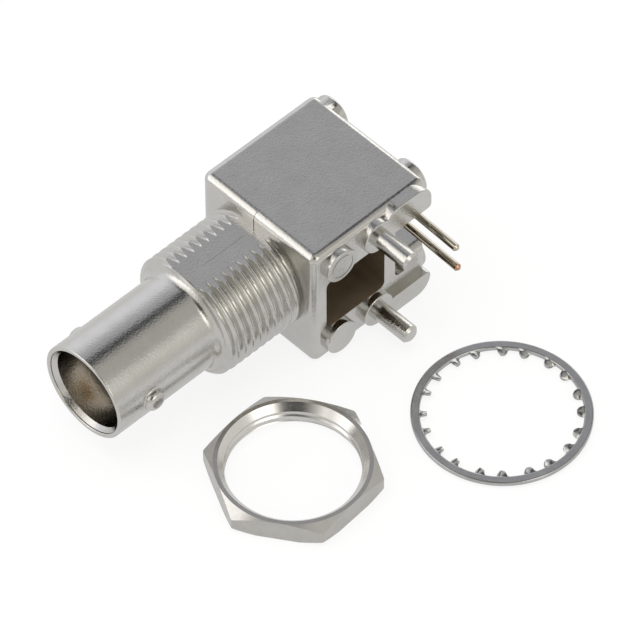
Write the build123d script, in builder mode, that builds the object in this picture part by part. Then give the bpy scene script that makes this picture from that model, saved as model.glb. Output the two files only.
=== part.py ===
"""Right-angle bayonet jack for a circuit board, with its panel nut and lock washer laid beside it.

Millimetres. The jack lies on one side of its box, as it comes to rest on a bench. +Z is up, the barrel
runs along Y with its mouth towards -Y, and the board pins point along +X. The origin is on the floor,
in the middle of the ground that all the pieces cover.

Places on the jack are given as along (back from the mouth), height (up from the barrel's axis) and
out (from the barrel's axis towards the board).
"""

from build123d import *
from math import cos, radians, sin, tan
import os

os.makedirs("parts", exist_ok=True)

# Barrel that the mating plug slides over
barrel_diameter = 9.65
barrel_length = 12.28
mouth_bore = 8.1
mouth_bore_depth = 8.4
entry_bore = 8.6
entry_depth = 0.7
mouth_edge = 0.15
shoulder_fillet = 0.85

# Bayonet lugs
lug_diameter = 2.15
lug_span = 11.0
lug_along = 4.0
lug_edge = 0.3

# Threaded neck that passes through a panel
thread_diameter = 12.4
thread_pitch = 0.907
thread_depth = 0.66
thread_crest = 0.12
thread_root = 0.12
thread_length = 8.67
front_cone_length = 0.3
front_crest_drop = 0.2
rear_land = 0.08
across_flats_of_thread = 10.66
insulator_bore_depth = 20.2

# Cast box behind the neck
box_width = 14.48
box_length = 14.05
box_behind_axis = 6.85
board_face_out = 7.75
box_edge = 0.85
board_edge = 0.8
back_edge = 0.8

# Stand-offs on the face that meets the board
standoff_height = 0.7
pad_diameter = 3.5
pad_behind_front = 2.85
pad_from_side = 2.265
pad_centre_height = -0.08
ring_mark_diameter = 2.6
ring_mark_width = 0.14
ring_mark_depth = 0.08
peg_diameter = 1.85
peg_from_side = 2.16
peg_before_pins = 5.72
peg_end_out = 12.57
peg_tip = 0.25
collar_diameter = 3.5
upper_foot_width = 3.09
lower_foot_width = 2.27
foot_length = 5.73
foot_outer_corner = 1.75
foot_inner_corner = 0.5
foot_margin = 0.07
standoff_edge = 0.12

# Pocket that is cored out of the box, open towards the board
front_wall = 1.5
pocket_width = 6.15
pocket_centre_height = -0.22
pocket_floor_out = 3.0
pocket_corner = 0.6

# Chamber for the soldered joint, behind the web, and the slot that opens it to the back
web_thickness = 1.35
chamber_length = 1.6
slot_length = 2.35
chamber_width = 6.5
slot_width = 3.8
slot_rim = 1.2
joint_floor_out = -2.6
trench_floor_out = 6.6
trench_top_height = 4.0

# Round bosses on the back face
boss_diameter = 3.85
boss_height = 0.75
boss_from_side_near_board = 2.265
boss_from_side_far = 1.94
boss_out_near_board = 5.2
boss_out_far = -4.9
boss_edge = 0.3

# Insulator and contacts
insulator_fit = 0.04
insulator_nose_diameter = 4.8
insulator_nose_along = 4.1
insulator_diameter = 6.9
insulator_tail_diameter = 4.3
insulator_tail_end = 0.4
contact_fit = 0.02
contact_diameter = 2.1
contact_tip_along = 3.85
contact_bore = 1.36
contact_bore_depth = 4.5
contact_slit = 0.28
contact_slit_length = 3.6
contact_slits = 2
tail_diameter = 1.6
tail_past_pin = 0.9
pin_diameter = 0.74
pin_before_back = 0.88
pin_lean = 2.0
signal_pin_end_out = 13.0
ground_pin_end_out = 12.75
pin_tip = 0.2
signal_pin_start_out = -1.1
ground_pin_height = 2.54
ground_pin_seat = 3.0

# Hexagonal panel nut
nut_across_flats = 14.29
nut_thickness = 2.25
nut_wall = 1.095
nut_mouth_depth = 0.8
nut_mouth_below = 0.6
nut_thread_depth = 0.3
nut_corner_cut = 1.1
nut_corner_cut_below = 0.85
nut_turned_angle = 30.0
nut_corner_edge = 0.35
nut_along = 10.75
nut_out = 15.6
nut_turn = 34.45

# Internal tooth lock washer
washer_diameter = 16.44
washer_ring_bore = 14.75
washer_thickness = 0.5
tooth_pairs = 10
tooth_pair_angle = 16.0
first_tooth_angle = 10.8
tooth_width = 1.15
tooth_reach = 0.66
tooth_root = 0.25
tooth_thickness = 0.36
tooth_twist = 34.0
washer_along = 28.92
washer_out = 23.62

# Sizes that follow from the ones above
box_front = barrel_length + thread_length
box_back = box_front + box_length
pad_spacing = box_width - 2 * pad_from_side
peg_spacing = box_width - 2 * peg_from_side
boss_spacing_near_board = box_width - 2 * boss_from_side_near_board
boss_spacing_far = box_width - 2 * boss_from_side_far
seat_out = board_face_out + standoff_height
axis_height = box_width / 2
washer_reach = washer_out + washer_diameter / 2
washer_back = washer_along + washer_diameter / 2
ground_back = max(washer_back, box_back + boss_height)
axis_x = -(washer_reach - box_behind_axis) / 2
mouth_y = -ground_back / 2
pin_along = box_back - pin_before_back
peg_along = pin_along - peg_before_pins
pad_along = box_front + pad_behind_front
chamber_start = box_back - slot_length - chamber_length
pocket_start = box_front + front_wall
pocket_length = chamber_start - web_thickness - pocket_start
contact_end = pin_along + tail_past_pin
ground_pin_start_out = trench_floor_out - ground_pin_seat
nut_bore = nut_across_flats - 2 * nut_wall
nut_mouth = nut_bore + 2 * nut_mouth_depth
nut_thread_diameter = nut_bore + 2 * nut_thread_depth


def side_plane(out):
    """Plane parallel to the board, with x back along the barrel and y up."""
    return Plane(origin=(axis_x + out, mouth_y, axis_height), x_dir=(0, 1, 0), z_dir=(1, 0, 0))


def cross_plane(along):
    """Plane across the barrel, facing back, with x up and y towards the board."""
    return Plane(origin=(axis_x, mouth_y + along, axis_height), x_dir=(0, 0, 1), z_dir=(0, 1, 0))


def pin_plane(height, out):
    """Plane across a board pin, which leans a little towards the mouth."""
    lean = radians(pin_lean)
    seat = Plane(
        origin=(axis_x + seat_out, mouth_y + pin_along, axis_height + height),
        z_dir=(cos(lean), -sin(lean), 0),
    )
    return seat.offset((out - seat_out) / cos(lean))


def floor_plane(along, out):
    """Plane on the floor, centred at a place beside the jack."""
    return Plane(origin=(axis_x + out, mouth_y + along, 0), x_dir=(1, 0, 0), z_dir=(0, 0, 1))


barrel_axis = Axis((axis_x, mouth_y, axis_height), (0, 1, 0))


def thread_outline(start, end, crest, depth):
    """Points of a ring thread's profile, from one land to the next."""
    flank = (thread_pitch - thread_crest - thread_root) / 2
    turns = int((end - start - thread_crest) / thread_pitch)
    points = []
    for turn in range(turns):
        groove = start + turn * thread_pitch
        points.append((groove, crest))
        points.append((groove + flank, crest - depth))
        points.append((groove + flank + thread_root, crest - depth))
        points.append((groove + 2 * flank + thread_root, crest))
    return points


# Turned outline of the barrel, the shoulder and the threaded neck
barrel_radius = barrel_diameter / 2
thread_radius = thread_diameter / 2
thread_start = barrel_length + front_cone_length
thread_end = box_front - rear_land
neck_inside_box = box_front + 1.0

with BuildPart() as neck:
    with BuildSketch(side_plane(0)):
        with BuildLine():
            Polyline(
                (0, 0),
                (0, barrel_radius - mouth_edge),
                (mouth_edge, barrel_radius),
                (barrel_length - shoulder_fillet, barrel_radius),
            )
            RadiusArc(
                (barrel_length - shoulder_fillet, barrel_radius),
                (barrel_length, barrel_radius + shoulder_fillet),
                shoulder_fillet,
            )
            Polyline(
                (barrel_length, barrel_radius + shoulder_fillet),
                (thread_start, thread_radius - front_crest_drop),
                *thread_outline(thread_start, thread_end, thread_radius, thread_depth)[1:],
                (thread_end, thread_radius),
                (neck_inside_box, thread_radius),
                (neck_inside_box, 0),
                (0, 0),
            )
        make_face()
    revolve(axis=barrel_axis)
    flat_height = across_flats_of_thread / 2
    with BuildSketch(cross_plane(barrel_length - shoulder_fillet)):
        for side in (1, -1):
            with Locations((side * (flat_height + thread_radius / 2), 0)):
                Rectangle(thread_radius, 2 * thread_diameter)
    extrude(amount=neck_inside_box - barrel_length + shoulder_fillet, mode=Mode.SUBTRACT)

with BuildPart() as lugs:
    with BuildSketch(side_plane(0)):
        with Locations((lug_along, 0)):
            Circle(lug_diameter / 2)
    extrude(amount=lug_span / 2, both=True)
    fillet(lugs.edges().filter_by(GeomType.CIRCLE), lug_edge)

with BuildPart() as box:
    with BuildSketch(side_plane(-box_behind_axis)):
        with Locations((box_front + box_length / 2, 0)):
            Rectangle(box_length, box_width)
    extrude(amount=box_behind_axis + board_face_out)
    long_back_edges = box.edges().filter_by(Axis.X).group_by(Axis.Y)[-1]
    fillet(long_back_edges, back_edge)
    front_edges = box.edges().filter_by(Axis.X).group_by(Axis.Y)[0]
    fillet(front_edges, box_edge)
    fillet(box.faces().sort_by(Axis.X)[0].edges(), box_edge)
    fillet(box.faces().sort_by(Axis.X)[-1].edges(), board_edge)

foot_end = box_back - foot_margin
foot_centre_along = foot_end - foot_length / 2
foot_outer_height = box_width / 2 - foot_margin

with BuildPart() as pads:
    with BuildSketch(side_plane(board_face_out - standoff_height)):
        with Locations((pad_along, pad_centre_height)):
            with GridLocations(0, pad_spacing, 1, 2):
                Circle(pad_diameter / 2)
    extrude(amount=2 * standoff_height)
    fillet(pads.faces().group_by(Axis.X)[-1].edges(), standoff_edge)

with BuildPart() as feet:
    with BuildSketch(side_plane(board_face_out - standoff_height)):
        with Locations((peg_along, 0)):
            with GridLocations(0, peg_spacing, 1, 2):
                Circle(collar_diameter / 2)
    extrude(amount=2 * standoff_height)
    for width, side in ((upper_foot_width, 1), (lower_foot_width, -1)):
        with BuildSketch(side_plane(board_face_out - standoff_height)) as foot:
            with Locations((foot_centre_along, side * (foot_outer_height - width / 2))):
                Rectangle(foot_length, width)
            rear_corners = foot.vertices().group_by(Axis.X)[-1].sort_by(Axis.Y, reverse=side < 0)
            fillet(rear_corners[0], foot_inner_corner)
            outer_corners = foot.vertices().sort_by(Axis.Y, reverse=side < 0)[-2:]
            fillet(outer_corners, foot_outer_corner)
        extrude(amount=2 * standoff_height)
    fillet(feet.faces().group_by(Axis.X)[-1].edges(), standoff_edge)

with BuildPart() as pegs:
    with BuildSketch(side_plane(board_face_out)):
        with GridLocations(0, peg_spacing, 1, 2):
            with Locations((peg_along, 0)):
                Circle(peg_diameter / 2)
    extrude(amount=peg_end_out - board_face_out)
    chamfer(pegs.faces().group_by(Axis.X)[-1].edges(), peg_tip)

with BuildPart() as bosses:
    with BuildSketch(cross_plane(box_back - boss_height)):
        for spacing, out in (
            (boss_spacing_near_board, boss_out_near_board),
            (boss_spacing_far, boss_out_far),
        ):
            with Locations((0, out)):
                with GridLocations(spacing, 0, 2, 1):
                    Circle(boss_diameter / 2)
    extrude(amount=2 * boss_height)
    fillet(bosses.faces().group_by(Axis.Y)[-1].edges(), boss_edge)

# Hollows of the casting: stepped bore, pocket, chamber, slot and trench
insulator_bore = insulator_diameter + 2 * insulator_fit
tail_bore = insulator_tail_diameter + 2 * insulator_fit
slot_end = box_back + boss_height

with BuildPart() as hollows:
    with BuildSketch(side_plane(0)):
        with BuildLine():
            Polyline(
                (0, 0),
                (0, entry_bore / 2 + mouth_edge),
                (mouth_edge, entry_bore / 2),
                (entry_depth, entry_bore / 2),
                (entry_depth, mouth_bore / 2),
                (mouth_bore_depth, mouth_bore / 2),
                (mouth_bore_depth, insulator_bore / 2),
                (insulator_bore_depth, insulator_bore / 2),
                (insulator_bore_depth, tail_bore / 2),
                (chamber_start, tail_bore / 2),
                (chamber_start, 0),
                (0, 0),
            )
        make_face()
    revolve(axis=barrel_axis)
    with BuildSketch(side_plane(pocket_floor_out)):
        with Locations((pocket_start + pocket_length / 2, pocket_centre_height)):
            RectangleRounded(pocket_length, pocket_width, pocket_corner)
    extrude(amount=seat_out - pocket_floor_out)
    with BuildSketch(side_plane(joint_floor_out)):
        with Locations((chamber_start + chamber_length / 2, 0)):
            RectangleRounded(chamber_length, chamber_width, pocket_corner)
        with Locations(((chamber_start + slot_end) / 2, 0)):
            Rectangle(slot_end - chamber_start, slot_width)
    extrude(amount=seat_out - joint_floor_out)
    with BuildSketch(side_plane(trench_floor_out)):
        trench_width = trench_top_height + slot_width / 2
        with Locations(((chamber_start + slot_end) / 2, trench_top_height - trench_width / 2)):
            Rectangle(slot_end - chamber_start, trench_width)
    extrude(amount=seat_out - trench_floor_out)
    with BuildSketch(cross_plane(chamber_start + chamber_length)):
        with BuildLine():
            Polyline(
                (-slot_width / 2, board_face_out - slot_rim),
                (-slot_width / 2, board_face_out),
                (-slot_width / 2 - slot_rim, board_face_out),
            )
            RadiusArc(
                (-slot_width / 2 - slot_rim, board_face_out),
                (-slot_width / 2, board_face_out - slot_rim),
                slot_rim,
            )
        make_face()
    extrude(amount=slot_end - chamber_start - chamber_length)
    with BuildSketch(pin_plane(ground_pin_height, ground_pin_start_out)):
        Circle(pin_diameter / 2 + contact_fit)
    extrude(amount=seat_out - ground_pin_start_out)

with BuildPart() as housing:
    add(neck.part)
    add(lugs.part)
    add(box.part)
    add(pads.part)
    add(feet.part)
    add(pegs.part)
    add(bosses.part)
    add(hollows.part, mode=Mode.SUBTRACT)
    with BuildSketch(side_plane(seat_out - ring_mark_depth)):
        with Locations((pad_along, pad_centre_height + pad_spacing / 2)):
            Circle(ring_mark_diameter / 2)
            Circle(ring_mark_diameter / 2 - ring_mark_width, mode=Mode.SUBTRACT)
    extrude(amount=ring_mark_depth, mode=Mode.SUBTRACT)

# Stepped insulator that carries the centre contact
insulator_end = chamber_start + insulator_tail_end

with BuildPart() as insulator:
    with BuildSketch(side_plane(0)):
        with BuildLine():
            Polyline(
                (insulator_nose_along, contact_diameter / 2 + contact_fit),
                (insulator_nose_along, insulator_nose_diameter / 2),
                (mouth_bore_depth, insulator_nose_diameter / 2),
                (mouth_bore_depth, insulator_diameter / 2),
                (insulator_bore_depth, insulator_diameter / 2),
                (insulator_bore_depth, insulator_tail_diameter / 2),
                (insulator_end, insulator_tail_diameter / 2),
                (insulator_end, contact_diameter / 2 + contact_fit),
                (insulator_nose_along, contact_diameter / 2 + contact_fit),
            )
        make_face()
    revolve(axis=barrel_axis)

# Centre contact, a slit socket at the mouth and a drilled tail for the signal pin
with BuildPart() as contact:
    with BuildSketch(cross_plane(contact_tip_along)):
        Circle(contact_diameter / 2)
    extrude(amount=insulator_end - contact_tip_along)
    with BuildSketch(cross_plane(insulator_end)):
        Circle(tail_diameter / 2)
    extrude(amount=contact_end - insulator_end)
    with BuildSketch(cross_plane(contact_tip_along)):
        Circle(contact_bore / 2)
    extrude(amount=contact_bore_depth, mode=Mode.SUBTRACT)
    with BuildSketch(cross_plane(contact_tip_along)):
        with PolarLocations(0, contact_slits, start_angle=45, angular_range=180):
            Rectangle(contact_diameter + contact_fit, contact_slit)
    extrude(amount=contact_slit_length, mode=Mode.SUBTRACT)
    with BuildSketch(pin_plane(0, -contact_diameter)):
        Circle(pin_diameter / 2 + contact_fit)
    extrude(amount=2 * contact_diameter, mode=Mode.SUBTRACT)


def board_pin(height, start_out, end_out):
    """Round pin with a blunt point that goes through the board."""
    with BuildPart() as pin:
        with BuildSketch(pin_plane(height, start_out)):
            Circle(pin_diameter / 2)
        extrude(amount=end_out - start_out)
        chamfer(pin.edges().sort_by(Axis.X)[-1], pin_tip)
    return pin.part


signal_pin = board_pin(0, signal_pin_start_out, signal_pin_end_out)
ground_pin = board_pin(ground_pin_height, ground_pin_start_out, ground_pin_end_out)

# Panel nut, turned on both faces, with an internal thread
nut_corner = nut_across_flats / 2 / cos(radians(30))
turned_slope = tan(radians(nut_turned_angle))
turned_drop = nut_corner_cut * turned_slope
turned_rise = nut_corner_cut_below * turned_slope
nut_origin = floor_plane(nut_along, nut_out).origin
nut_axis = Axis(nut_origin, (0, 0, 1))
nut_section = Plane(origin=nut_origin, x_dir=(1, 0, 0), z_dir=(0, -1, 0))


def nut_thread_outline(start, end):
    """Points up the wall of the nut's bore, with a groove for each turn of its thread."""
    rise = (thread_pitch - thread_crest - thread_root) / 2
    points = []
    for turn in range(int((end - start) / thread_pitch)):
        height = start + turn * thread_pitch
        points.append((nut_bore / 2, height))
        points.append((nut_thread_diameter / 2, height + rise))
        points.append((nut_thread_diameter / 2, height + rise + thread_root))
        points.append((nut_bore / 2, height + 2 * rise + thread_root))
    return points


with BuildPart() as nut:
    with BuildSketch(floor_plane(nut_along, nut_out)) as hexagon:
        RegularPolygon(nut_corner, 6, rotation=nut_turn)
        fillet(hexagon.vertices(), nut_corner_edge)
    extrude(amount=nut_thickness)
    with BuildSketch(nut_section):
        with BuildLine():
            Polyline(
                (0, 0),
                (nut_corner - nut_corner_cut_below, 0),
                (nut_corner, turned_rise),
                (nut_corner, nut_thickness - turned_drop),
                (nut_corner - nut_corner_cut, nut_thickness),
                (0, nut_thickness),
                (0, 0),
            )
        make_face()
    revolve(axis=nut_axis, mode=Mode.INTERSECT)
    with BuildSketch(nut_section):
        with BuildLine():
            Polyline(
                (0, 0),
                ((nut_bore + nut_mouth_below) / 2, 0),
                (nut_bore / 2, nut_mouth_below / 2),
                *nut_thread_outline(nut_mouth_below / 2 + thread_crest, nut_thickness - nut_mouth_depth),
                (nut_bore / 2, nut_thickness - nut_mouth_depth),
                (nut_mouth / 2, nut_thickness),
                (0, nut_thickness),
                (0, 0),
            )
        make_face()
    revolve(axis=nut_axis, mode=Mode.SUBTRACT)

# Lock washer, a flat ring held off the floor by the twisted teeth round its inside
tooth_length = tooth_reach + tooth_root
twist = radians(tooth_twist)
washer_middle = tooth_width / 2 * sin(twist) + tooth_thickness / 2 * cos(twist)
tooth_radius = washer_ring_bore / 2 + tooth_root - tooth_length / 2

with BuildPart() as washer:
    with BuildSketch(floor_plane(washer_along, washer_out).offset(washer_middle - washer_thickness / 2)):
        Circle(washer_diameter / 2)
        Circle(washer_ring_bore / 2, mode=Mode.SUBTRACT)
    extrude(amount=washer_thickness)
    with Locations(floor_plane(washer_along, washer_out).offset(washer_middle)):
        for first in (first_tooth_angle, first_tooth_angle + tooth_pair_angle):
            with PolarLocations(tooth_radius, tooth_pairs, start_angle=first):
                Box(tooth_length, tooth_width, tooth_thickness, rotation=(tooth_twist, 0, 0))

housing.part.label = "cast_housing"
insulator.part.label = "insulator"
contact.part.label = "centre_contact"
signal_pin.label = "signal_pin"
ground_pin.label = "ground_pin"
nut.part.label = "panel_nut"
washer.part.label = "lock_washer"

export_step(housing.part, "parts/cast_housing.step")
export_step(insulator.part, "parts/insulator.step")
export_step(contact.part, "parts/centre_contact.step")
export_step(signal_pin, "parts/signal_pin.step")
export_step(ground_pin, "parts/ground_pin.step")
export_step(nut.part, "parts/panel_nut.step")
export_step(washer.part, "parts/lock_washer.step")
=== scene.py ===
"""Looks of a right-angle bayonet jack for a circuit board, with its panel nut and lock washer beside it.

Sizes on a piece are in millimetres in that piece's own frame, and its frame puts it in the row's metres.
"""

import math

import bmesh
import bpy
from mathutils import Matrix, Vector


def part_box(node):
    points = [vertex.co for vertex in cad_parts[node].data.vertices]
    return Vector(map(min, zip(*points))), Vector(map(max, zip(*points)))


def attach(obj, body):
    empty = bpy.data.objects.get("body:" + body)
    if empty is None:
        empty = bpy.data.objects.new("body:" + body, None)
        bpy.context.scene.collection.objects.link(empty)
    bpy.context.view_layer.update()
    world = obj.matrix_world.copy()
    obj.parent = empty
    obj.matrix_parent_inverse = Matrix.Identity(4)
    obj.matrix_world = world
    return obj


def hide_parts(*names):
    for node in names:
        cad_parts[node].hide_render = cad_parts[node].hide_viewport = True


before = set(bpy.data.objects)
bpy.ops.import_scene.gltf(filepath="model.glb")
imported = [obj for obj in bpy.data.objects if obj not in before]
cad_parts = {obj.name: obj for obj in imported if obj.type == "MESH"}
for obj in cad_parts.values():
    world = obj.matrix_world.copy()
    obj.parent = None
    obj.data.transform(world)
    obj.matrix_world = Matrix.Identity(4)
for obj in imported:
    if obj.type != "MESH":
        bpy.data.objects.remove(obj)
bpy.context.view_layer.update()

MM = 0.001
ROUND = 2 * math.pi

# Barrel and threaded neck, along the barrel's axis from its mouth
barrel_radius = 4.825
barrel_length = 12.28
mouth_edge = 0.15
entry_radius = 4.36
entry_depth = 0.2
entry_cone_end = 0.66
bore_radius = 4.05
bore_depth = 8.4
insulator_bore_radius = 3.49
insulator_bore_depth = 20.2
shoulder_fillet = 0.85
box_front = 20.95
neck_root_in_box = 0.3
thread_radius = 6.2
thread_depth = 0.48
thread_fullness = 1.25
thread_height_share = 0.97
thread_pitch = 0.907
steps_in_pitch = 12
front_cone_length = 0.2
front_crest_drop = 0.2
box_edge = 0.85
box_top = 7.24
first_root_on_top = 13.45
flat_height = 5.33
parting_line_width = 0.07
parting_line_depth = 0.05
parting_line_start = 14.6
parting_line_end = 19.6

# Bayonet lugs
lug_radius = 1.075
lug_span = 11.0
lug_along = 4.0
lug_edge = 0.55
lug_foot_fillet = 0.26
lug_foot_depth = 0.3

# Panel nut
nut_across_flats = 14.29
nut_turn = 34.45
nut_bore_radius = 6.13
nut_thread_radius = 6.4
nut_mouth_radius = 6.76
nut_mouth_below_radius = 6.35
nut_corner_edge = 0.35
nut_corner_cut = 1.1
nut_corner_cut_below = 0.85
nut_turned_angle = 30.0
nut_thread_start = 0.03
nut_core_radius = 0.5
nut_flat_margin = 0.1
nut_side_lean = 0.3
nut_level_face = 0.97

# Lock washer
washer_radius = 8.22
washer_ring_bore_radius = 7.375
washer_thickness = 0.5
washer_edge = 0.15
tooth_pairs = 10
tooth_pair_angle = 16.0
first_tooth_angle = 10.8
tooth_width = 1.0
tooth_reach = 0.66
tooth_root = 0.25
tooth_thickness = 0.4
tooth_twist = 30.0
tooth_flare = 1.3
tooth_flare_fade = 2.2
tooth_tip_start = 0.4
tooth_tip_rounding = 2.3
tooth_side_thinning = 2.2
tooth_bend_fade = 2.0
tooth_grid = (11, 9, 3)
ring_edge_steps = 4

# Fineness of the turned pieces, and the angles in degrees below which their faces blend
turned_steps = 192
small_steps = 48
thread_steps = 160
edge_softness = 0.05
smooth_below = 32.0
nut_smooth_below = 22.0

# Distances within which points merge, in a made shape, in a finished piece and in a CAD mesh
merge_made = 0.00001
merge_finished = 0.0004
merge_cad = 0.0005

# Overlap where shapes join, hole left at the pole of a turned shape, and reach of cutters past their cut
join_overlap = 0.01
pole_gap = 0.01
cutter_past = 1.0
cutter_reach = 20.0
parting_line_past = 0.3

# Bare copper at the signal pin's cut end
bare_tip_length = 0.6
bare_tip_fade = 0.3

# Pocket of the casting, whose faces inside get a dark brown colour that is painted shade
recess_margin = 0.05
recess_front = 22.45
recess_back = 29.7
recess_low = -3.295
recess_high = 2.855
recess_floor_out = 3.0
recess_rim_out = 7.0


def frame_at(origin, x_axis, y_axis, z_axis):
    """Matrix from a piece's own millimetres to the row's metres."""
    turn = Matrix((x_axis, y_axis, z_axis)).transposed().to_4x4()
    return Matrix.Translation(origin) @ turn @ Matrix.Scale(MM, 4)


def middle(node):
    """Centre of a CAD node's box, in the row's metres."""
    low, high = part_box(node)
    return (low + high) / 2


UP = (0, 0, 1)
OUT = (1, 0, 0)
BACK = (0, 1, 0)
bore_centre = middle("insulator")
mouth = Vector((bore_centre.x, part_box("cast_housing")[0].y, bore_centre.z))
barrel_frame = frame_at(mouth, UP, OUT, BACK)
nut_low, nut_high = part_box("panel_nut")
nut_centre = middle("panel_nut")
nut_frame = frame_at(Vector((nut_centre.x, nut_centre.y, nut_low.z)), OUT, BACK, UP)
nut_thickness = (nut_high.z - nut_low.z) / MM
washer_centre = middle("lock_washer")
washer_frame = frame_at(washer_centre, OUT, BACK, UP)


def mesh_object(name, vertices, faces):
    """New object from points and faces."""
    data = bpy.data.meshes.new(name)
    data.from_pydata(vertices, [], faces)
    data.validate()
    piece = bpy.data.objects.new(name, data)
    bpy.context.scene.collection.objects.link(piece)
    return piece


def drop(piece):
    """Deletes a helper object."""
    bpy.data.objects.remove(piece, do_unlink=True)


def settle(piece):
    """Makes the result of a piece's modifiers its plain mesh."""
    graph = bpy.context.evaluated_depsgraph_get()
    graph.update()
    data = bpy.data.meshes.new_from_object(piece.evaluated_get(graph))
    piece.modifiers.clear()
    piece.data = data
    return piece


def combine(piece, other, operation):
    """Boolean of two closed pieces, after which the second one is gone."""
    step = piece.modifiers.new("combine", "BOOLEAN")
    step.operation = operation
    step.solver = "MANIFOLD"
    step.object = other
    settle(piece)
    drop(other)
    return piece


def clean(piece, merge_distance):
    """Merges double points and turns the faces outwards."""
    work = bmesh.new()
    work.from_mesh(piece.data)
    bmesh.ops.remove_doubles(work, verts=work.verts, dist=merge_distance)
    bmesh.ops.dissolve_degenerate(work, edges=work.edges, dist=merge_distance)
    bmesh.ops.recalc_face_normals(work, faces=work.faces)
    work.to_mesh(piece.data)
    work.free()
    return piece


def copy_of_node(node, name, own_frame):
    """Merged copy of a CAD node's mesh in a piece's own millimetres."""
    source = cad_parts[node].data
    inverse = own_frame.inverted()
    points = [inverse @ v.co for v in source.vertices]
    piece = mesh_object(name, points, [tuple(p.vertices) for p in source.polygons])
    return clean(piece, merge_cad)


def revolve(name, outline, steps):
    """Closed solid turned about the piece's own z axis from a closed outline of (along, radius)."""
    vertices = []
    for step in range(steps):
        turn = ROUND * step / steps
        for along, radius in outline:
            vertices.append((radius * math.cos(turn), radius * math.sin(turn), along))
    rows = len(outline)
    faces = []
    for step in range(steps):
        following = (step + 1) % steps
        for row in range(rows):
            after = (row + 1) % rows
            here, there = step * rows, following * rows
            faces.append((here + row, here + after, there + after, there + row))
    return clean(mesh_object(name, vertices, faces), merge_made)


def arc(centre, radius, start, end, steps):
    """Points (along, radius) on an arc, with its angles in degrees from the along direction."""
    points = []
    for step in range(steps + 1):
        turn = math.radians(start + (end - start) * step / steps)
        points.append((centre[0] + radius * math.cos(turn), centre[1] + radius * math.sin(turn)))
    return points


def block(name, low, high):
    """Closed box between two corners."""
    xs, ys, zs = zip(low, high)
    vertices = [(x, y, z) for x in xs for y in ys for z in zs]
    faces = [(0, 1, 3, 2), (4, 6, 7, 5), (0, 4, 5, 1), (2, 3, 7, 6), (0, 2, 6, 4), (1, 5, 7, 3)]
    return clean(mesh_object(name, vertices, faces), merge_made)


def new_tree(name, inputs):
    """Geometry Nodes tree with named number inputs, and its input and output nodes."""
    tree = bpy.data.node_groups.new(name, "GeometryNodeTree")
    for label, kind, value in inputs:
        socket = tree.interface.new_socket(label, in_out="INPUT", socket_type=kind)
        if value is not None:
            socket.default_value = value
    tree.interface.new_socket("Geometry", in_out="OUTPUT", socket_type="NodeSocketGeometry")
    return tree, tree.nodes.new("NodeGroupInput"), tree.nodes.new("NodeGroupOutput")


def grow(tree, name, values):
    """Runs a tree on an empty mesh and returns its result as a plain piece."""
    piece = mesh_object(name, [], [])
    step = piece.modifiers.new(name, "NODES")
    step.node_group = tree
    sockets = {s.name: s.identifier for s in tree.interface.items_tree if s.in_out == "INPUT"}
    for label, value in values.items():
        step[sockets[label]] = value
    return settle(piece)


def sum_of(tree, operation, first, second):
    """Output of a math node on two sockets or numbers."""
    node = tree.nodes.new("ShaderNodeMath")
    node.operation = operation
    for socket, value in zip(node.inputs, (first, second)):
        if isinstance(value, bpy.types.NodeSocket):
            tree.links.new(value, socket)
        else:
            socket.default_value = value
    return node.outputs[0]


def end_tree(tree, geometry, material, result):
    """Ends a tree in plain geometry that carries its material."""
    real = tree.nodes.new("GeometryNodeRealizeInstances")
    tree.links.new(geometry, real.inputs["Geometry"])
    finish = tree.nodes.new("GeometryNodeSetMaterial")
    tree.links.new(real.outputs["Geometry"], finish.inputs["Geometry"])
    tree.links.new(material, finish.inputs["Material"])
    tree.links.new(finish.outputs["Geometry"], result.inputs["Geometry"])


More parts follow.
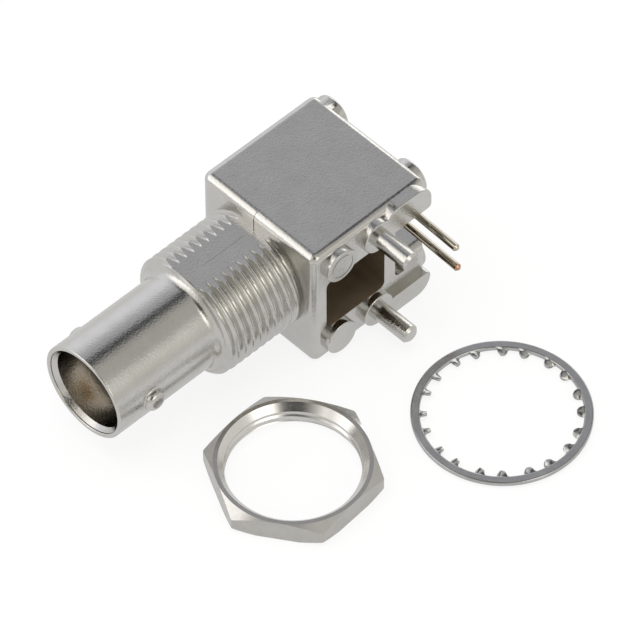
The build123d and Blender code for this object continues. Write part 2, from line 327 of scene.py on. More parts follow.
def rolled_thread_tree():
    """Tree for a round bar whose surface rises and falls in a right-handed helix, with rounded crests."""
    inputs = [
        ("Length", "NodeSocketFloat", 10.0),
        ("Pitch", "NodeSocketFloat", 1.0),
        ("Crest Place", "NodeSocketFloat", 0.0),
        ("Root Radius", "NodeSocketFloat", 5.5),
        ("Depth", "NodeSocketFloat", 0.6),
        ("Crest Fullness", "NodeSocketFloat", 1.4),
        ("Steps Round", "NodeSocketInt", 160),
        ("Steps Along", "NodeSocketInt", 120),
        ("Finish", "NodeSocketMaterial", None),
    ]
    tree, given, result = new_tree("rolled_thread", inputs)
    nodes, join = tree.nodes, tree.links.new
    bar = nodes.new("GeometryNodeMeshCylinder")
    bar.inputs["Radius"].default_value = 1.0
    join(given.outputs["Steps Round"], bar.inputs["Vertices"])
    join(given.outputs["Steps Along"], bar.inputs["Side Segments"])
    join(given.outputs["Length"], bar.inputs["Depth"])
    place = nodes.new("GeometryNodeInputPosition")
    parts = nodes.new("ShaderNodeSeparateXYZ")
    join(place.outputs[0], parts.inputs[0])
    along = sum_of(tree, "ADD", parts.outputs["Z"], sum_of(tree, "MULTIPLY", given.outputs["Length"], 0.5))
    turn = sum_of(tree, "ARCTAN2", parts.outputs["Y"], parts.outputs["X"])
    lead = sum_of(tree, "SUBTRACT", along, given.outputs["Crest Place"])
    wave = sum_of(tree, "MULTIPLY", sum_of(tree, "DIVIDE", lead, given.outputs["Pitch"]), ROUND)
    wave = sum_of(tree, "COSINE", sum_of(tree, "SUBTRACT", wave, turn), 0.0)
    below_crest = sum_of(tree, "MULTIPLY", sum_of(tree, "SUBTRACT", 1.0, wave), 0.5)
    fall = sum_of(tree, "POWER", below_crest, given.outputs["Crest Fullness"])
    rise = sum_of(tree, "MULTIPLY", sum_of(tree, "SUBTRACT", 1.0, fall), given.outputs["Depth"])
    radius = sum_of(tree, "ADD", given.outputs["Root Radius"], rise)
    point = nodes.new("ShaderNodeCombineXYZ")
    join(sum_of(tree, "MULTIPLY", radius, sum_of(tree, "COSINE", turn, 0.0)), point.inputs["X"])
    join(sum_of(tree, "MULTIPLY", radius, sum_of(tree, "SINE", turn, 0.0)), point.inputs["Y"])
    join(along, point.inputs["Z"])
    shape = nodes.new("GeometryNodeSetPosition")
    join(bar.outputs["Mesh"], shape.inputs["Geometry"])
    join(point.outputs[0], shape.inputs["Position"])
    end_tree(tree, shape.outputs["Geometry"], given.outputs["Finish"], result)
    return tree


def tooth_ring_tree():
    """Tree that sets pairs of twisted teeth round the inside of a rolled ring."""
    inputs = [
        ("Ring Radius", "NodeSocketFloat", 7.8),
        ("Ring Width", "NodeSocketFloat", 0.85),
        ("Ring Thickness", "NodeSocketFloat", 0.5),
        ("Ring Edge", "NodeSocketFloat", 0.1),
        ("Pairs", "NodeSocketInt", 10),
        ("First Angle", "NodeSocketFloat", 0.0),
        ("Pair Angle", "NodeSocketFloat", 0.3),
        ("Tooth Radius", "NodeSocketFloat", 7.2),
        ("Tooth Length", "NodeSocketFloat", 1.0),
        ("Tooth Width", "NodeSocketFloat", 1.1),
        ("Tooth Thickness", "NodeSocketFloat", 0.4),
        ("Twist", "NodeSocketFloat", 0.6),
        ("Base Flare", "NodeSocketFloat", 0.5),
        ("Steps", "NodeSocketInt", 192),
        ("Finish", "NodeSocketMaterial", None),
    ]
    tree, given, result = new_tree("toothed_ring", inputs)
    nodes, join = tree.nodes, tree.links.new

    circle = nodes.new("GeometryNodeCurvePrimitiveCircle")
    join(given.outputs["Steps"], circle.inputs["Resolution"])
    join(given.outputs["Ring Radius"], circle.inputs["Radius"])
    section = nodes.new("GeometryNodeCurvePrimitiveQuadrilateral")
    join(given.outputs["Ring Width"], section.inputs["Width"])
    join(given.outputs["Ring Thickness"], section.inputs["Height"])
    rolled = nodes.new("GeometryNodeFilletCurve")
    rolled.mode = "POLY"
    rolled.inputs["Count"].default_value = ring_edge_steps
    join(section.outputs["Curve"], rolled.inputs["Curve"])
    join(given.outputs["Ring Edge"], rolled.inputs["Radius"])
    sweep = nodes.new("GeometryNodeCurveToMesh")
    join(circle.outputs["Curve"], sweep.inputs["Curve"])
    join(rolled.outputs["Curve"], sweep.inputs["Profile Curve"])

    tooth = nodes.new("GeometryNodeMeshCube")
    size = nodes.new("ShaderNodeCombineXYZ")
    join(given.outputs["Tooth Length"], size.inputs["X"])
    join(given.outputs["Tooth Width"], size.inputs["Y"])
    join(given.outputs["Tooth Thickness"], size.inputs["Z"])
    join(size.outputs[0], tooth.inputs["Size"])
    for axis, points in zip("XYZ", tooth_grid):
        tooth.inputs["Vertices " + axis].default_value = points
    place = nodes.new("GeometryNodeInputPosition")
    parts = nodes.new("ShaderNodeSeparateXYZ")
    join(place.outputs[0], parts.inputs[0])
    half = sum_of(tree, "MULTIPLY", given.outputs["Tooth Length"], 0.5)
    reach = sum_of(tree, "SUBTRACT", half, parts.outputs["X"])
    reach = sum_of(tree, "DIVIDE", reach, given.outputs["Tooth Length"])
    past_root = sum_of(tree, "MULTIPLY", reach, tooth_flare_fade)
    root = sum_of(tree, "MAXIMUM", sum_of(tree, "SUBTRACT", 1.0, past_root), 0.0)
    flare = sum_of(tree, "MULTIPLY", sum_of(tree, "MULTIPLY", root, root), given.outputs["Base Flare"])
    tip = sum_of(tree, "MAXIMUM", sum_of(tree, "SUBTRACT", reach, tooth_tip_start), 0.0)
    tip_loss = sum_of(tree, "MULTIPLY", sum_of(tree, "MULTIPLY", tip, tip), tooth_tip_rounding)
    rounded = sum_of(tree, "SUBTRACT", 1.0, tip_loss)
    spread = sum_of(tree, "MULTIPLY", sum_of(tree, "SQRT", rounded, 0.0), sum_of(tree, "ADD", flare, 1.0))
    side = sum_of(tree, "DIVIDE", parts.outputs["Y"], given.outputs["Tooth Width"])
    width = sum_of(tree, "MULTIPLY", parts.outputs["Y"], spread)
    thinning = sum_of(tree, "MULTIPLY", sum_of(tree, "MULTIPLY", side, side), tooth_side_thinning)
    level = sum_of(tree, "MULTIPLY", parts.outputs["Z"], sum_of(tree, "SUBTRACT", 1.0, thinning))
    bend = sum_of(tree, "MINIMUM", sum_of(tree, "MULTIPLY", reach, tooth_bend_fade), 1.0)
    turn = sum_of(tree, "MULTIPLY", given.outputs["Twist"], bend)
    cosine = sum_of(tree, "COSINE", turn, 0.0)
    sine = sum_of(tree, "SINE", turn, 0.0)
    width_across = sum_of(tree, "MULTIPLY", width, cosine)
    across = sum_of(tree, "SUBTRACT", width_across, sum_of(tree, "MULTIPLY", level, sine))
    width_up = sum_of(tree, "MULTIPLY", width, sine)
    up = sum_of(tree, "ADD", width_up, sum_of(tree, "MULTIPLY", level, cosine))
    bent = nodes.new("ShaderNodeCombineXYZ")
    join(parts.outputs["X"], bent.inputs["X"])
    join(across, bent.inputs["Y"])
    join(up, bent.inputs["Z"])
    shape = nodes.new("GeometryNodeSetPosition")
    join(tooth.outputs["Mesh"], shape.inputs["Geometry"])
    join(bent.outputs[0], shape.inputs["Position"])

    index = nodes.new("GeometryNodeInputIndex")
    pair = sum_of(tree, "FLOOR", sum_of(tree, "DIVIDE", index.outputs[0], 2.0), 0.0)
    second = sum_of(tree, "MODULO", index.outputs[0], 2.0)
    step = sum_of(tree, "DIVIDE", ROUND, given.outputs["Pairs"])
    angle = sum_of(tree, "ADD", sum_of(tree, "MULTIPLY", pair, step), given.outputs["First Angle"])
    angle = sum_of(tree, "ADD", angle, sum_of(tree, "MULTIPLY", second, given.outputs["Pair Angle"]))
    spot = nodes.new("ShaderNodeCombineXYZ")
    radius = given.outputs["Tooth Radius"]
    join(sum_of(tree, "MULTIPLY", radius, sum_of(tree, "COSINE", angle, 0.0)), spot.inputs["X"])
    join(sum_of(tree, "MULTIPLY", radius, sum_of(tree, "SINE", angle, 0.0)), spot.inputs["Y"])
    spots = nodes.new("GeometryNodePoints")
    join(sum_of(tree, "MULTIPLY", given.outputs["Pairs"], 2.0), spots.inputs["Count"])
    join(spot.outputs[0], spots.inputs["Position"])
    facing_in = nodes.new("ShaderNodeCombineXYZ")
    join(angle, facing_in.inputs["Z"])
    teeth = nodes.new("GeometryNodeInstanceOnPoints")
    join(spots.outputs[0], teeth.inputs["Points"])
    join(shape.outputs["Geometry"], teeth.inputs["Instance"])
    join(facing_in.outputs[0], teeth.inputs["Rotation"])
    both = nodes.new("GeometryNodeJoinGeometry")
    join(sweep.outputs["Mesh"], both.inputs["Geometry"])
    join(teeth.outputs["Instances"], both.inputs["Geometry"])
    end_tree(tree, both.outputs["Geometry"], given.outputs["Finish"], result)
    return tree


def noise(nodes, join, place, size, detail, roughness=0.5):
    """Output of a noise texture whose grain is so many metres across."""
    node = nodes.new("ShaderNodeTexNoise")
    node.inputs["Scale"].default_value = 1 / size
    node.inputs["Detail"].default_value = detail
    node.inputs["Roughness"].default_value = roughness
    join(place, node.inputs["Vector"])
    return node.outputs["Fac"]


def between(nodes, join, value, low, high, start=0.3, end=0.7):
    """Output that runs from low to high as a texture value runs from start to end."""
    node = nodes.new("ShaderNodeMapRange")
    node.inputs["From Min"].default_value = start
    node.inputs["From Max"].default_value = end
    node.inputs["To Min"].default_value = low
    node.inputs["To Max"].default_value = high
    join(value, node.inputs["Value"])
    return node.outputs["Result"]


def plated_metal(name, bright, dull, roughness, grain, grain_depth, metal_share=1.0):
    """Plated metal: two tones in soft patches, with a fine grain in its surface."""
    finish = bpy.data.materials.new(name)
    finish.use_nodes = True
    nodes, join = finish.node_tree.nodes, finish.node_tree.links.new
    surface = nodes["Principled BSDF"]
    surface.inputs["Metallic"].default_value = metal_share
    place = nodes.new("ShaderNodeTexCoord").outputs["Object"]

    tones = nodes.new("ShaderNodeMix")
    tones.name = "tones"
    tones.data_type = "RGBA"
    tones.inputs["A"].default_value = (*bright, 1)
    tones.inputs["B"].default_value = (*dull, 1)
    patches = noise(nodes, join, place, 12 * grain, 5, 0.65)
    join(between(nodes, join, patches, 0.0, 1.0), tones.inputs["Factor"])
    join(tones.outputs["Result"], surface.inputs["Base Color"])

    haze = noise(nodes, join, place, 3 * grain, 4, 0.6)
    join(between(nodes, join, haze, roughness[0], roughness[1]), surface.inputs["Roughness"])

    pits = nodes.new("ShaderNodeBump")
    pits.name = "pits"
    pits.inputs["Distance"].default_value = grain_depth
    join(noise(nodes, join, place, grain, 3, 0.6), pits.inputs["Height"])
    join(pits.outputs["Normal"], surface.inputs["Normal"])
    return finish


def turning_lines(finish, centre, pitch, depth):
    """Adds the fine rings that a lathe leaves round a centre to a metal's surface."""
    nodes, join = finish.node_tree.nodes, finish.node_tree.links.new
    place = nodes.new("ShaderNodeTexCoord").outputs["Object"]
    centred = nodes.new("ShaderNodeMapping")
    centred.inputs["Location"].default_value = (-centre.x, -centre.y, 0)
    centred.inputs["Scale"].default_value = (1, 1, 0)
    join(place, centred.inputs["Vector"])
    distance = nodes.new("ShaderNodeVectorMath")
    distance.operation = "LENGTH"
    join(centred.outputs["Vector"], distance.inputs[0])
    rings = nodes.new("ShaderNodeTexNoise")
    rings.noise_dimensions = "1D"
    rings.inputs["Scale"].default_value = 1 / pitch
    rings.inputs["Detail"].default_value = 3
    join(distance.outputs["Value"], rings.inputs["W"])
    lines = nodes.new("ShaderNodeBump")
    lines.inputs["Distance"].default_value = depth
    join(rings.outputs["Fac"], lines.inputs["Height"])
    join(nodes["pits"].outputs["Normal"], lines.inputs["Normal"])
    join(lines.outputs["Normal"], nodes["Principled BSDF"].inputs["Normal"])
    return finish


def bare_tip(finish, start, length, copper):
    """Adds the bare copper at the cut end of a lead, past a place on its X axis."""
    nodes, join = finish.node_tree.nodes, finish.node_tree.links.new
    parts = nodes.new("ShaderNodeSeparateXYZ")
    join(nodes.new("ShaderNodeTexCoord").outputs["Object"], parts.inputs[0])
    share = between(nodes, join, parts.outputs["X"], 0.0, 1.0, start, start + length)
    worn = nodes.new("ShaderNodeMix")
    worn.data_type = "RGBA"
    worn.inputs["B"].default_value = (*copper, 1)
    join(share, worn.inputs["Factor"])
    join(nodes["tones"].outputs["Result"], worn.inputs["A"])
    join(worn.outputs["Result"], nodes["Principled BSDF"].inputs["Base Color"])
    return finish


def moulded_plastic(name, light, dark, roughness, mottle, dimple, dimple_depth):
    """Off-white moulded plastic, faintly mottled, with a waxy sheen."""
    finish = bpy.data.materials.new(name)
    finish.use_nodes = True
    nodes, join = finish.node_tree.nodes, finish.node_tree.links.new
    surface = nodes["Principled BSDF"]
    place = nodes.new("ShaderNodeTexCoord").outputs["Object"]
    tones = nodes.new("ShaderNodeMix")
    tones.data_type = "RGBA"
    tones.inputs["A"].default_value = (*light, 1)
    tones.inputs["B"].default_value = (*dark, 1)
    join(between(nodes, join, noise(nodes, join, place, mottle, 4), 0.0, 1.0), tones.inputs["Factor"])
    join(tones.outputs["Result"], surface.inputs["Base Color"])
    haze = noise(nodes, join, place, mottle / 3, 3)
    join(between(nodes, join, haze, roughness[0], roughness[1]), surface.inputs["Roughness"])
    dimples = nodes.new("ShaderNodeBump")
    dimples.inputs["Distance"].default_value = dimple_depth
    join(noise(nodes, join, place, dimple, 3), dimples.inputs["Height"])
    join(dimples.outputs["Normal"], surface.inputs["Normal"])
    return finish


nickel_casting = plated_metal(
    "satin_nickel_casting",
    bright=(0.685, 0.675, 0.65),
    dull=(0.625, 0.615, 0.585),
    roughness=(0.10, 0.15),
    grain=0.2 * MM,
    grain_depth=0.023 * MM,
)
# Dark brown, half-metal colour that is painted shade for the faces inside the casting's pocket
pocket_painted_shade = plated_metal(
    "painted_shade_in_pocket",
    bright=(0.27, 0.21, 0.145),
    dull=(0.2, 0.15, 0.10),
    roughness=(0.35, 0.5),
    grain=0.2 * MM,
    grain_depth=0.006 * MM,
    metal_share=0.45,
)
nickel_nut = plated_metal(
    "turned_bright_nickel",
    bright=(0.80, 0.79, 0.775),
    dull=(0.74, 0.73, 0.715),
    roughness=(0.14, 0.22),
    grain=0.1 * MM,
    grain_depth=0.0006 * MM,
)
turning_lines(nickel_nut, nut_centre, pitch=0.05 * MM, depth=0.0006 * MM)
dull_nickel = plated_metal(
    "dull_nickel_on_flats",
    bright=(0.62, 0.605, 0.575),
    dull=(0.56, 0.545, 0.515),
    roughness=(0.16, 0.26),
    grain=0.1 * MM,
    grain_depth=0.001 * MM,
)
washer_steel = plated_metal(
    "plated_spring_steel",
    bright=(0.60, 0.60, 0.595),
    dull=(0.48, 0.48, 0.475),
    roughness=(0.17, 0.26),
    grain=0.15 * MM,
    grain_depth=0.003 * MM,
)
tinned_wire = plated_metal(
    "tinned_lead_wire",
    bright=(0.66, 0.63, 0.54),
    dull=(0.52, 0.48, 0.38),
    roughness=(0.08, 0.16),
    grain=0.2 * MM,
    grain_depth=0.0016 * MM,
)
tipped_wire = plated_metal(
    "tinned_lead_with_bare_tip",
    bright=(0.66, 0.62, 0.53),
    dull=(0.54, 0.47, 0.37),
    roughness=(0.08, 0.16),
    grain=0.2 * MM,
    grain_depth=0.0016 * MM,
)
tip_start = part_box("signal_pin")[1].x - bare_tip_length * MM
bare_tip(tipped_wire, tip_start, bare_tip_fade * MM, copper=(0.56, 0.34, 0.22))
gold_plate = plated_metal(
    "gold_plated_socket",
    bright=(0.85, 0.58, 0.22),
    dull=(0.75, 0.48, 0.18),
    roughness=(0.2, 0.35),
    grain=0.1 * MM,
    grain_depth=0.002 * MM,
)
dielectric_plastic = moulded_plastic(
    "off_white_dielectric",
    light=(0.88, 0.79, 0.67),
    dark=(0.80, 0.71, 0.59),
    roughness=(0.3, 0.45),
    mottle=1.2 * MM,
    dimple=0.25 * MM,
    dimple_depth=0.004 * MM,
)


def soften(piece, width, above):
    """Small round on a piece's edges that turn by more than an angle."""
    step = piece.modifiers.new("soft_edges", "BEVEL")
    step.width = width
    step.segments = 2
    step.limit_method = "ANGLE"
    step.angle_limit = math.radians(above)
    step.use_clamp_overlap = True
    return settle(piece)


def finish_piece(piece, own_frame, finishes, nodes, below=smooth_below):
    """Smooth shading, place in the row's metres, materials, a parent on the root body, and the CAD nodes it
    takes the place of hidden.
    """
    clean(piece, merge_finished)
    piece.data.shade_smooth()
    piece.data.set_sharp_from_angle(angle=math.radians(below))
    step = piece.modifiers.new("face_normals", "WEIGHTED_NORMAL")
    step.keep_sharp = True
    step.weight = 100
    settle(piece)
    piece.data.transform(own_frame)
    piece.data.materials.clear()
    for finish in finishes:
        piece.data.materials.append(finish)
    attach(piece, "root")
    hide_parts(*nodes)
    return piece


thread_tree = rolled_thread_tree()


def rolled_thread(name, length, crest_place, root_radius, depth):
    """Round bar with a helical thread, from height 0 up."""
    return clean(grow(thread_tree, name, {
        "Length": length,
        "Pitch": thread_pitch,
        "Crest Place": crest_place,
        "Root Radius": root_radius,
        "Depth": depth,
        "Crest Fullness": thread_fullness,
        "Steps Round": thread_steps,
        "Steps Along": math.ceil(length / thread_pitch * steps_in_pitch),
    }), merge_made)


def prism(name, outline, out_low, out_high):
    """Solid with an outline of (height, along) that runs from one place to another towards the board."""
    vertices = [(height, out, along) for out in (out_low, out_high) for height, along in outline]
    count = len(outline)
    faces = [tuple(range(count)), tuple(reversed(range(count, 2 * count)))]
    for row in range(count):
        after = (row + 1) % count
        faces.append((row, after, after + count, row + count))
    return clean(mesh_object(name, vertices, faces), merge_made)


def threaded_neck():
    """Neck with its helical thread, cut by the front cone and two flats, with the mould's parting line."""
    start = barrel_length - shoulder_fillet
    end = box_front + neck_root_in_box
    first_crest = first_root_on_top + thread_pitch / 2 - start
    neck = rolled_thread("neck", end - start, first_crest, thread_radius - thread_depth, thread_depth)
    neck.data.transform(Matrix.Translation((0, 0, start)) @ Matrix.Diagonal((thread_height_share, 1, 1, 1)))
    envelope_outline = [
        (barrel_length, 0.0),
        (barrel_length, barrel_radius + shoulder_fillet),
        (barrel_length + front_cone_length, thread_radius - front_crest_drop),
        (barrel_length + 2 * front_cone_length, thread_radius + join_overlap),
        (end - join_overlap, thread_radius + join_overlap),
        (end - join_overlap, 0.0),
    ]
    combine(neck, revolve("envelope", envelope_outline, turned_steps), "INTERSECT")
    side = 2 * thread_radius
    flats = block("flats", (-flat_height, -side, 0), (flat_height, side, 2 * box_front))
    combine(neck, flats, "INTERSECT")
    line = block(
        "parting_line",
        (flat_height - parting_line_depth, -parting_line_width / 2, parting_line_start),
        (flat_height + cutter_past, parting_line_width / 2, parting_line_end),
    )
    return combine(neck, line, "DIFFERENCE")


def front_parting_line():
    """Cutter for the parting line that runs over the box's front edge and down to the neck."""
    depth = parting_line_depth
    centre = (box_top - box_edge, box_front + box_edge)
    bend = arc((centre[1], centre[0]), box_edge - depth, 180, 90, 8)
    outline = [
        (box_top + parting_line_past, box_front + box_edge),
        (box_top + parting_line_past, box_front - parting_line_past),
        (flat_height, box_front - parting_line_past),
        (flat_height, box_front + depth),
        *[(height, along) for along, height in bend],
    ]
    return prism("front_parting_line", outline, -parting_line_width, parting_line_width)


def bayonet_barrel():
    """Barrel with its stepped mouth and shoulder fillet, and the two lugs on it."""
    rim = arc((mouth_edge, barrel_radius - mouth_edge), mouth_edge, 180, 90, 4)
    inner_rim = arc((mouth_edge, entry_radius + mouth_edge), mouth_edge, 270, 180, 4)
    shoulder_centre = (barrel_length - shoulder_fillet, barrel_radius + shoulder_fillet)
    shoulder = arc(shoulder_centre, shoulder_fillet, 270, 360, 8)
    outline = [
        *rim,
        *shoulder,
        (barrel_length + front_cone_length / 2, barrel_radius + shoulder_fillet),
        (barrel_length + front_cone_length / 2, insulator_bore_radius),
        (bore_depth, insulator_bore_radius),
        (bore_depth, bore_radius),
        (entry_cone_end, bore_radius),
        (entry_depth, entry_radius),
        *inner_rim,
    ]
    barrel = revolve("barrel", outline, turned_steps)
    for turn in (90, -90):
        top = lug_span / 2
        foot = math.sqrt(barrel_radius ** 2 - lug_radius ** 2)
        lug_outline = [
            (foot - lug_foot_depth, pole_gap),
            (foot - lug_foot_depth, lug_radius + lug_foot_fillet),
            *arc((foot + lug_foot_fillet, lug_radius + lug_foot_fillet), lug_foot_fillet, 180, 270, 6),
            *arc((top - lug_edge, lug_radius - lug_edge), lug_edge, 90, 0, 6),
            (top, pole_gap),
        ]
        lug = revolve("lug", lug_outline, small_steps)
        upright = Matrix.Rotation(math.radians(turn), 4, "X")
        lug.data.transform(Matrix.Translation((0, 0, lug_along)) @ upright)
        combine(barrel, lug, "UNION")
    return barrel


def casting():
    """Whole casting: the CAD box with its feet and pegs, and the turned and threaded front joined to it,
    with painted shade on the faces inside its pocket.
    """
    body = copy_of_node("cast_housing", "jack_casting", barrel_frame)
    low_corner = (-cutter_reach, -cutter_reach, -cutter_reach)
    front = block("front", low_corner, (cutter_reach, cutter_reach, box_front - join_overlap))
    combine(body, front, "DIFFERENCE")
    combine(body, front_parting_line(), "DIFFERENCE")
    bore = revolve("bore", [
        (-cutter_past, 0.0),
        (-cutter_past, insulator_bore_radius),
        (insulator_bore_depth, insulator_bore_radius),
        (insulator_bore_depth, 0.0),
    ], turned_steps)
    combine(body, combine(threaded_neck(), bore, "DIFFERENCE"), "UNION")
    combine(body, bayonet_barrel(), "UNION")
    finish_piece(body, barrel_frame, (nickel_casting, pocket_painted_shade), ["cast_housing"])
    inverse = barrel_frame.inverted()
    # Faces inside the pocket get the second material, which is painted shade
    for face in body.data.polygons:
        height, out, along = inverse @ face.center
        inside = recess_low - recess_margin < height < recess_high + recess_margin
        inside = inside and recess_front - recess_margin < along < recess_back + recess_margin
        if inside and recess_floor_out - recess_margin < out < recess_rim_out:
            face.material_index = 1
    return body


def panel_nut():
    """Hexagonal nut turned to a cone on both faces, with a mouth cone, a helical thread and duller flats."""
    corner = nut_across_flats / 2 / math.cos(math.radians(30))
    slope = math.tan(math.radians(nut_turned_angle))
    corner_centre = corner - nut_corner_edge / math.sin(math.radians(60))
    rim = []
    for side in range(6):
        toward = math.radians(nut_turn + 60 * side)
        for share in (-1, -0.5, 0, 0.5, 1):
            turn = toward + math.radians(30 * share)
            rim.append((
                corner_centre * math.cos(toward) + nut_corner_edge * math.cos(turn),
                corner_centre * math.sin(toward) + nut_corner_edge * math.sin(turn),
            ))
    count = len(rim)
    vertices = [(x, y, height) for height in (0, nut_thickness) for x, y in rim]
    faces = [tuple(reversed(range(count))), tuple(range(count, 2 * count))]
    for row in range(count):
        after = (row + 1) % count
        faces.append((row, after, after + count, row + count))
    nut = mesh_object("hexagonal_nut", vertices, faces)
    turned_outline = [
        (0, nut_core_radius),
        (0, corner - nut_corner_cut_below),
        (nut_corner_cut_below * slope, corner),
        (nut_corner_cut_below * slope, corner + cutter_past),
        (nut_thickness - nut_corner_cut * slope, corner + cutter_past),
        (nut_thickness - nut_corner_cut * slope, corner),
        (nut_thickness, corner - nut_corner_cut),
        (nut_thickness, nut_core_radius),
    ]
    combine(nut, revolve("turned_faces", turned_outline, turned_steps), "INTERSECT")
    mouth_depth = nut_mouth_radius - nut_bore_radius
    mouth_depth_below = nut_mouth_below_radius - nut_bore_radius
    bore_outline = [
        (-cutter_past, nut_core_radius / 2),
        (-cutter_past, nut_mouth_below_radius),
        (0, nut_mouth_below_radius),
        (mouth_depth_below, nut_bore_radius),
        (nut_thickness - mouth_depth, nut_bore_radius),
        (nut_thickness, nut_mouth_radius),
        (nut_thickness + cutter_past, nut_mouth_radius),
        (nut_thickness + cutter_past, nut_core_radius / 2),
    ]
    combine(nut, revolve("bore", bore_outline, turned_steps), "DIFFERENCE")
    soften(nut, edge_softness, nut_smooth_below)
    thread_length = nut_thickness + 2 * cutter_past
    thread_rise = nut_thread_radius - nut_bore_radius
    start_radius = nut_bore_radius - nut_thread_start
    thread = rolled_thread("nut_thread", thread_length, cutter_past, start_radius, thread_rise)
    thread.data.transform(Matrix.Translation((0, 0, -cutter_past)))
    combine(nut, thread, "DIFFERENCE")
    finish_piece(nut, nut_frame, (nickel_nut, dull_nickel), ["panel_nut"], nut_smooth_below)
    for face in nut.data.polygons:
        from_axis = (face.center - nut_centre).xy.length / MM
        outside = from_axis > nut_across_flats / 2 - nut_flat_margin
        on_side = outside and abs(face.normal.z) < nut_side_lean
        if on_side or face.normal.z > nut_level_face:
            face.material_index = 1
    return nut


def lock_washer():
    """Ring with its pairs of twisted teeth."""
    tooth_length = tooth_reach + tooth_root
    washer = grow(tooth_ring_tree(), "toothed_washer", {
        "Ring Radius": (washer_radius + washer_ring_bore_radius) / 2,
        "Ring Width": washer_radius - washer_ring_bore_radius,
        "Ring Thickness": washer_thickness,
        "Ring Edge": washer_edge,
        "Pairs": tooth_pairs,
        "First Angle": math.radians(first_tooth_angle),
        "Pair Angle": math.radians(tooth_pair_angle),
        "Tooth Radius": washer_ring_bore_radius + tooth_root - tooth_length / 2,
        "Tooth Length": tooth_length,
        "Tooth Width": tooth_width,
        "Tooth Thickness": tooth_thickness,
        "Twist": math.radians(tooth_twist),
        "Base Flare": tooth_flare,
        "Steps": turned_steps,
        "Finish": washer_steel,
    })
    return finish_piece(washer, washer_frame, (washer_steel,), ["lock_washer"])


def board_lead(node, name, finish):
    """Board pin: the CAD pin with smooth shading."""
    lead = copy_of_node(node, name, barrel_frame)
    return finish_piece(lead, barrel_frame, (finish,), [node])


def inner_piece(node, name, finish):
    """Insulator or contact, seen only down the mouth: the CAD piece with smooth shading."""
    piece = copy_of_node(node, name, barrel_frame)
    return finish_piece(piece, barrel_frame, (finish,), [node])


casting()
panel_nut()
lock_washer()
board_lead("signal_pin", "signal_lead", tipped_wire)
board_lead("ground_pin", "ground_lead", tinned_wire)
inner_piece("insulator", "dielectric", dielectric_plastic)
inner_piece("centre_contact", "socket_contact", gold_plate)

# Camera: the point it looks at and its distance in metres, its angles in degrees, its lens in millimetres
camera_target = Vector((-0.00407, 0.00242, 0.007))
camera_distance = 0.61775
camera_azimuth = 46.13
camera_elevation = 50.44
camera_roll = -0.215
camera_lens = 389.38


def place_camera():
    """Camera at the photo's viewing angle."""
    data = bpy.data.cameras.new("camera")
    data.lens = camera_lens
    data.sensor_width = 36
    data.clip_start = 0.01
    data.clip_end = 20
    camera = bpy.data.objects.new("camera", data)
    bpy.context.scene.collection.objects.link(camera)
    turn = (
        Matrix.Rotation(math.radians(camera_azimuth), 4, "Z")
        @ Matrix.Rotation(math.radians(90 - camera_elevation), 4, "X")
        @ Matrix.Rotation(math.radians(camera_roll), 4, "Z")
    )
    back = Matrix.Translation((0, 0, camera_distance))
    camera.matrix_world = Matrix.Translation(camera_target) @ turn @ back
    bpy.context.scene.camera = camera


# Light tent: its brightness by the angle from overhead towards +X, in degrees
tent_levels = (
    (-180, 0.70), (-110, 0.86), (-87, 0.87), (-72, 0.92), (-60, 0.90), (-49, 0.74), (-41, 0.53), (-33, 0.47),
    (-22, 0.44), (-19, 0.05), (-10, 0.03), (-5, 0.20), (1, 0.39), (9, 0.48), (41, 0.49), (50, 0.66),
    (60, 0.73), (70, 0.70), (89, 0.58), (110, 0.62), (180, 0.70),
)
cool_cloth = (0.97, 0.98, 1.03)
warm_cloth = (1.02, 1.0, 0.94)
cream_panel = (1.0, 0.955, 0.88)
front_softbox = ((-0.40, -0.74, 0.54), 16.0, 37.0, 0.9)
side_softbox = ((0.80, -0.07, 0.59), 9.0, 24.0, 1.1)
back_softbox = ((-0.40, 0.88, 0.25), 14.0, 26.0, 0.8)
camera_opening = ((0.50, -0.47, 0.72), 12.0, 25.0, 0.15)
cloth_seam = ((-0.46, 0.03, 0.885), 2.0, 9.0, 0.25)
background_white = 1.0
reflected_white = 0.72
floor_half_size = 1.5
floor_albedo = 0.8
floor_white = 1.06
floor_white_share = 0.8
floor_roughness = 0.9
soft_lamp_shift = -0.05
soft_lamp_height = 0.5
soft_lamp_size = 0.5
soft_lamp_level = 0.55


def panel_share(nodes, join, direction, way, inner, outer):
    """Output that is 1 within an angle of the way given, and falls smoothly to 0 at a wider one."""
    toward = nodes.new("ShaderNodeVectorMath")
    toward.operation = "DOT_PRODUCT"
    toward.inputs[1].default_value = Vector(way).normalized()
    join(direction, toward.inputs[0])
    fall = nodes.new("ShaderNodeMapRange")
    fall.interpolation_type = "SMOOTHSTEP"
    fall.inputs["From Min"].default_value = math.cos(math.radians(outer))
    fall.inputs["From Max"].default_value = math.cos(math.radians(inner))
    join(toward.outputs["Value"], fall.inputs["Value"])
    return fall.outputs["Result"]


def scaled(nodes, join, colour, factor):
    """Colour times a factor, where the colour is a socket or a fixed colour."""
    node = nodes.new("ShaderNodeVectorMath")
    node.operation = "SCALE"
    if isinstance(colour, bpy.types.NodeSocket):
        join(colour, node.inputs[0])
    else:
        node.inputs[0].default_value = colour
    join(factor, node.inputs["Scale"])
    return node.outputs["Vector"]


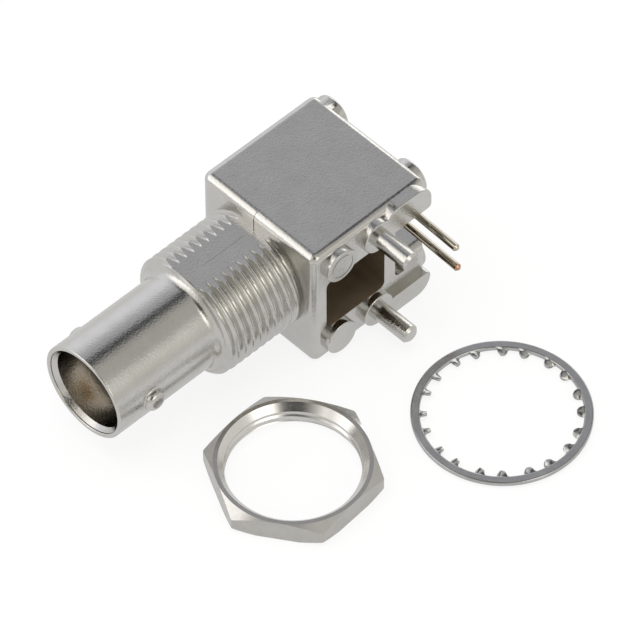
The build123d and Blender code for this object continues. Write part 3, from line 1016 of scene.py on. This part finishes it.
def light_tent():
    """World: white where the camera sees it, and the studio's cloth and panels for light and reflections."""
    world = bpy.data.worlds.new("light_tent")
    bpy.context.scene.world = world
    world.use_nodes = True
    nodes, join = world.node_tree.nodes, world.node_tree.links.new
    direction = nodes.new("ShaderNodeTexCoord").outputs["Generated"]
    parts = nodes.new("ShaderNodeSeparateXYZ")
    join(direction, parts.inputs[0])
    side = nodes.new("ShaderNodeMath")
    side.operation = "ARCTAN2"
    join(parts.outputs["X"], side.inputs[0])
    join(parts.outputs["Z"], side.inputs[1])
    share = nodes.new("ShaderNodeMapRange")
    share.inputs["From Min"].default_value = -math.pi
    share.inputs["From Max"].default_value = math.pi
    join(side.outputs[0], share.inputs["Value"])
    ramp = nodes.new("ShaderNodeValToRGB")
    stops = ramp.color_ramp.elements
    while len(stops) < len(tent_levels):
        stops.new(0.5)
    for stop, (angle, level) in zip(stops, tent_levels):
        cloth = cool_cloth if angle < 0 else warm_cloth
        stop.position = (angle + 180) / 360
        stop.color = (*(level * tint for tint in cloth), 1)
    join(share.outputs["Result"], ramp.inputs["Fac"])
    light = ramp.outputs["Color"]
    for way, inner, outer, strength in (front_softbox, side_softbox, back_softbox):
        colour = tuple(strength * tint for tint in cream_panel)
        glow = scaled(nodes, join, colour, panel_share(nodes, join, direction, way, inner, outer))
        added = nodes.new("ShaderNodeVectorMath")
        join(light, added.inputs[0])
        join(glow, added.inputs[1])
        light = added.outputs["Vector"]
    for way, inner, outer, level in (camera_opening, cloth_seam):
        dark = nodes.new("ShaderNodeMapRange")
        dark.inputs["To Min"].default_value = 1.0
        dark.inputs["To Max"].default_value = level
        join(panel_share(nodes, join, direction, way, inner, outer), dark.inputs["Value"])
        light = scaled(nodes, join, light, dark.outputs["Result"])
    studio = nodes["Background"]
    join(light, studio.inputs["Color"])
    white = nodes.new("ShaderNodeBackground")
    white.inputs["Color"].default_value = (1, 1, 1, 1)
    white.inputs["Strength"].default_value = background_white
    choice = nodes.new("ShaderNodeMixShader")
    join(nodes.new("ShaderNodeLightPath").outputs["Is Camera Ray"], choice.inputs["Fac"])
    join(studio.outputs["Background"], choice.inputs[1])
    join(white.outputs["Background"], choice.inputs[2])
    join(choice.outputs["Shader"], nodes["World Output"].inputs["Surface"])


def pale_floor():
    """Floor that looks white, that metal mirrors a little darker, and that keeps soft shadows."""
    half = floor_half_size
    corners = [(-half, -half, 0), (half, -half, 0), (half, half, 0), (-half, half, 0)]
    floor = mesh_object("floor", corners, [(0, 1, 2, 3)])
    finish = bpy.data.materials.new("pale_floor")
    finish.use_nodes = True
    nodes, join = finish.node_tree.nodes, finish.node_tree.links.new
    paint = nodes["Principled BSDF"]
    paint.inputs["Base Color"].default_value = (floor_albedo, floor_albedo, floor_albedo, 1)
    paint.inputs["Roughness"].default_value = floor_roughness
    path = nodes.new("ShaderNodeLightPath")
    output = nodes["Material Output"]
    shader = paint.outputs["BSDF"]
    strengths = {"Is Camera Ray": floor_white, "Is Glossy Ray": reflected_white, "Is Transmission Ray": 1.0}
    for ray, strength in strengths.items():
        white = nodes.new("ShaderNodeEmission")
        white.inputs["Strength"].default_value = strength
        share = nodes.new("ShaderNodeMath")
        share.operation = "MULTIPLY"
        share.inputs[1].default_value = floor_white_share
        join(path.outputs[ray], share.inputs[0])
        choice = nodes.new("ShaderNodeMixShader")
        join(share.outputs[0], choice.inputs["Fac"])
        join(shader, choice.inputs[1])
        join(white.outputs["Emission"], choice.inputs[2])
        shader = choice.outputs["Shader"]
    join(shader, output.inputs["Surface"])
    floor.data.materials.append(finish)


def soft_lamp():
    """Large lamp above, seen by no mirror, that lifts the light to a plain level."""
    data = bpy.data.lights.new("soft_lamp", "AREA")
    data.shape = "DISK"
    data.size = soft_lamp_size
    solid_angle = math.pi * (soft_lamp_size / 2) ** 2 / soft_lamp_height ** 2
    data.energy = soft_lamp_level * math.pi / solid_angle * math.pi ** 2 * (soft_lamp_size / 2) ** 2
    lamp = bpy.data.objects.new("soft_lamp", data)
    bpy.context.scene.collection.objects.link(lamp)
    lamp.location = (soft_lamp_shift, soft_lamp_shift, soft_lamp_height)
    lamp.visible_glossy = False


place_camera()
light_tent()
pale_floor()
soft_lamp()
bpy.context.scene.view_settings.view_transform = "Standard"
